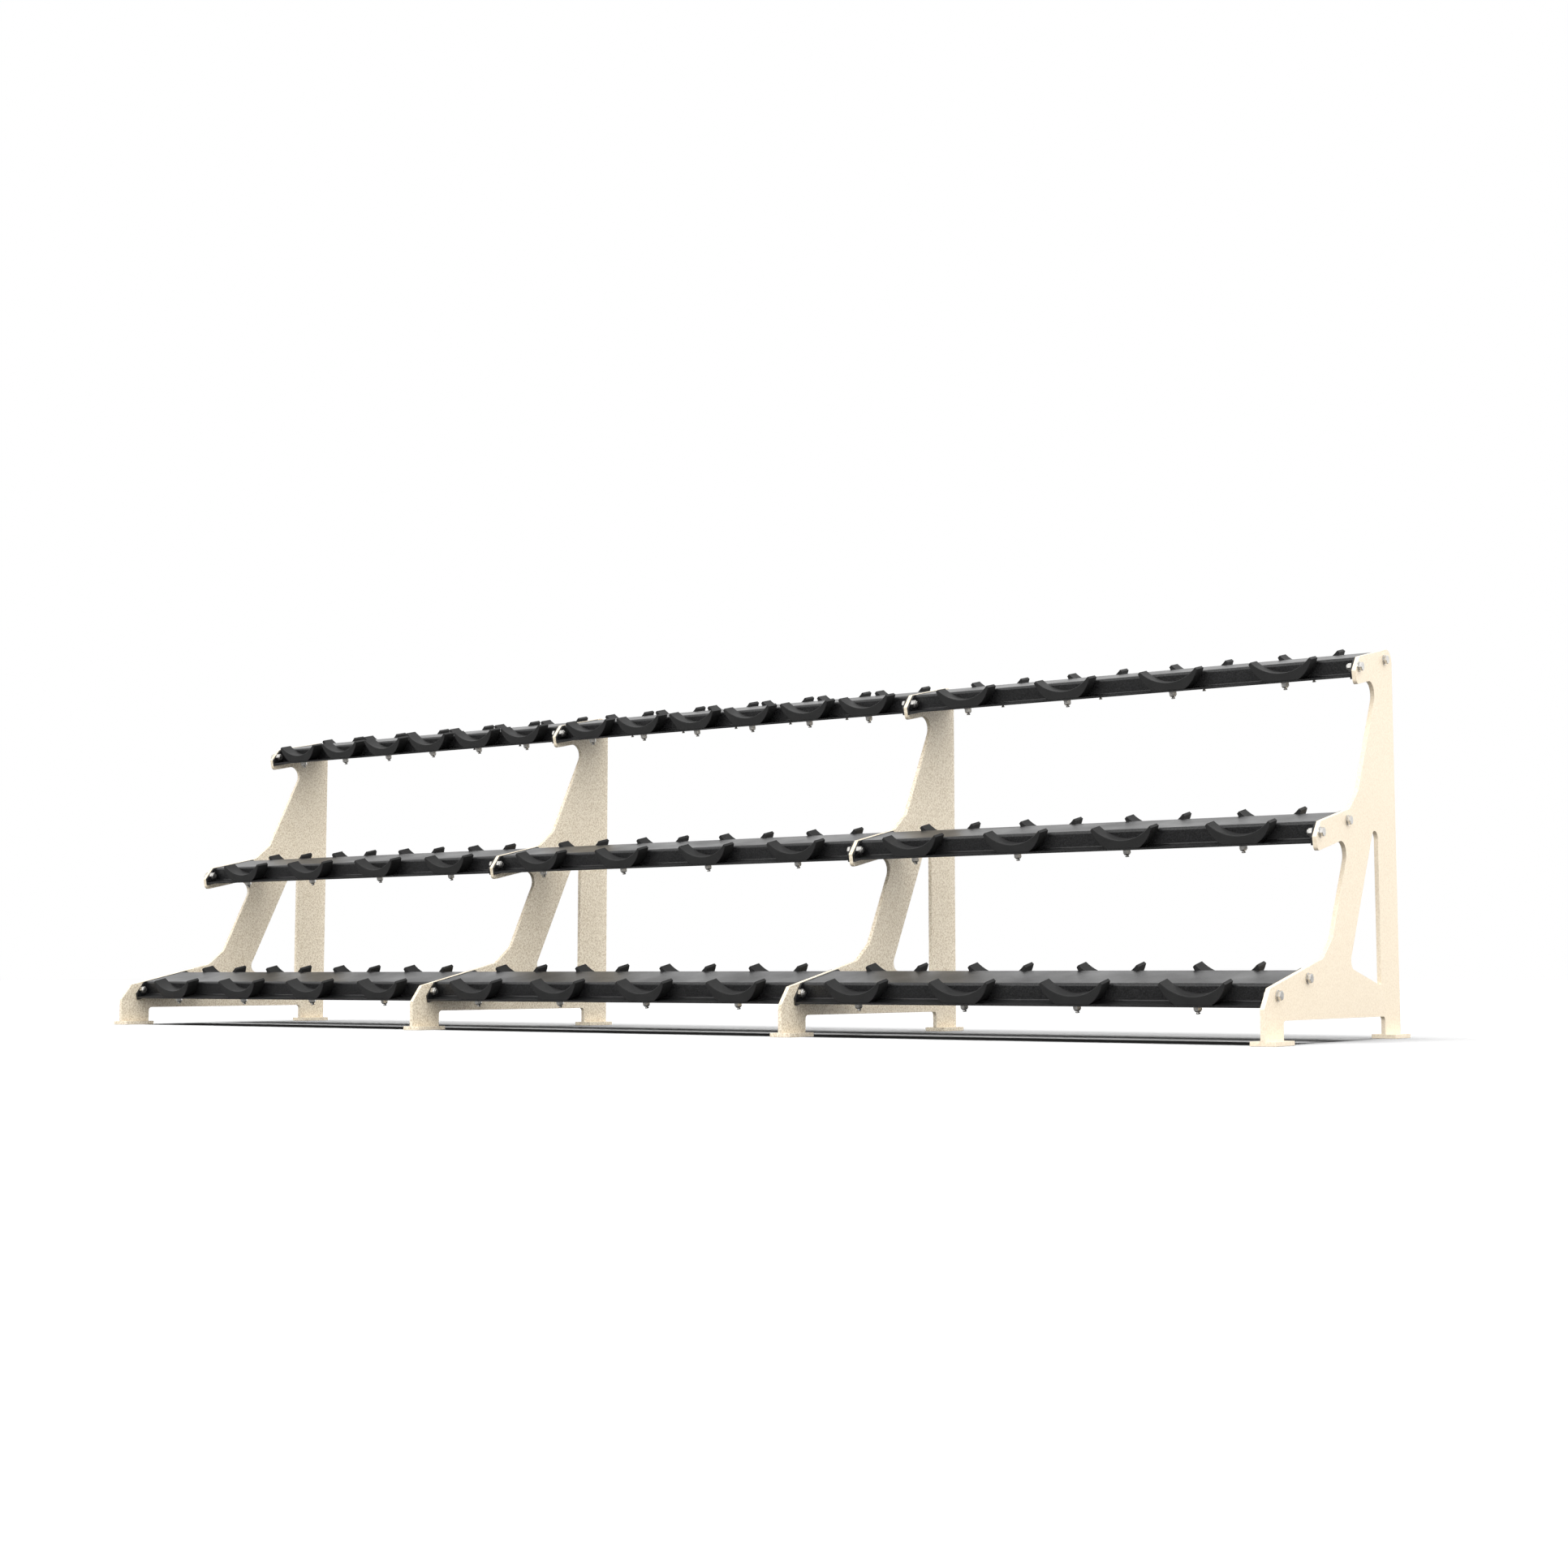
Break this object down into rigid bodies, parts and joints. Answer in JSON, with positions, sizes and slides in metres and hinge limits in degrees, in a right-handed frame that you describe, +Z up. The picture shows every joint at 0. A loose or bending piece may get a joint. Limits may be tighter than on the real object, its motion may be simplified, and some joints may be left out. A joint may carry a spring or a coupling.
{
  "type": "dumbbell rack",
  "caption": "Long tiered dumbbell rack: flat plate uprights with stepped, tilted arms, folded sheet-metal shelves between them and moulded crescent saddles along each shelf.",
  "frame": {"origin": "on the floor, at the middle of the rack's length and depth", "axes": "+X along the rack to the right as seen from the front, +Y from the front to the rear, +Z up"},
  "size_m": [3.657, 0.804, 0.9204],
  "materials": {
    "frame_paint": "fine-textured ivory powder coat",
    "shelf_paint": "fine-textured black powder coat",
    "saddle_polymer": "matte moulded black",
    "zinc_plate": "zinc plated"
  },
  "bodies": {
    "root": {"upright_left_end": "frame_paint", "upright_left_inner": "frame_paint", "upright_right_inner": "frame_paint", "upright_right_end": "frame_paint", "foot_plate_front_left_end": "frame_paint", "foot_plate_rear_left_end": "frame_paint", "foot_plate_front_left_inner": "frame_paint", "foot_plate_rear_left_inner": "frame_paint", "foot_plate_front_right_inner": "frame_paint", "foot_plate_rear_right_inner": "frame_paint", "foot_plate_front_right_end": "frame_paint", "foot_plate_rear_right_end": "frame_paint", "shelf_bottom_left": "shelf_paint", "end_plates_bottom_left": "shelf_paint", "saddles_front_bottom_left": "saddle_polymer", "saddles_rear_bottom_left": "saddle_polymer", "shelf_bottom_centre": "shelf_paint", "end_plates_bottom_centre": "shelf_paint", "saddles_front_bottom_centre": "saddle_polymer", "saddles_rear_bottom_centre": "saddle_polymer", "shelf_bottom_right": "shelf_paint", "end_plates_bottom_right": "shelf_paint", "saddles_front_bottom_right": "saddle_polymer", "saddles_rear_bottom_right": "saddle_polymer", "shelf_middle_left": "shelf_paint", "end_plates_middle_left": "shelf_paint", "saddles_front_middle_left": "saddle_polymer", "saddles_rear_middle_left": "saddle_polymer", "shelf_middle_centre": "shelf_paint", "end_plates_middle_centre": "shelf_paint", "saddles_front_middle_centre": "saddle_polymer", "saddles_rear_middle_centre": "saddle_polymer", "shelf_middle_right": "shelf_paint", "end_plates_middle_right": "shelf_paint", "saddles_front_middle_right": "saddle_polymer", "saddles_rear_middle_right": "saddle_polymer", "shelf_top_left": "shelf_paint", "end_plates_top_left": "shelf_paint", "saddles_front_top_left": "saddle_polymer", "saddles_rear_top_left": "saddle_polymer", "shelf_top_centre": "shelf_paint", "end_plates_top_centre": "shelf_paint", "saddles_front_top_centre": "saddle_polymer", "saddles_rear_top_centre": "saddle_polymer", "shelf_top_right": "shelf_paint", "end_plates_top_right": "shelf_paint", "saddles_front_top_right": "saddle_polymer", "saddles_rear_top_right": "saddle_polymer", "saddle_studs": "zinc_plate", "saddle_washers": "zinc_plate", "saddle_nuts": "zinc_plate", "frame_bolts": "zinc_plate", "frame_washers": "zinc_plate", "frame_nuts": "zinc_plate"}
  },
  "joints": []
}
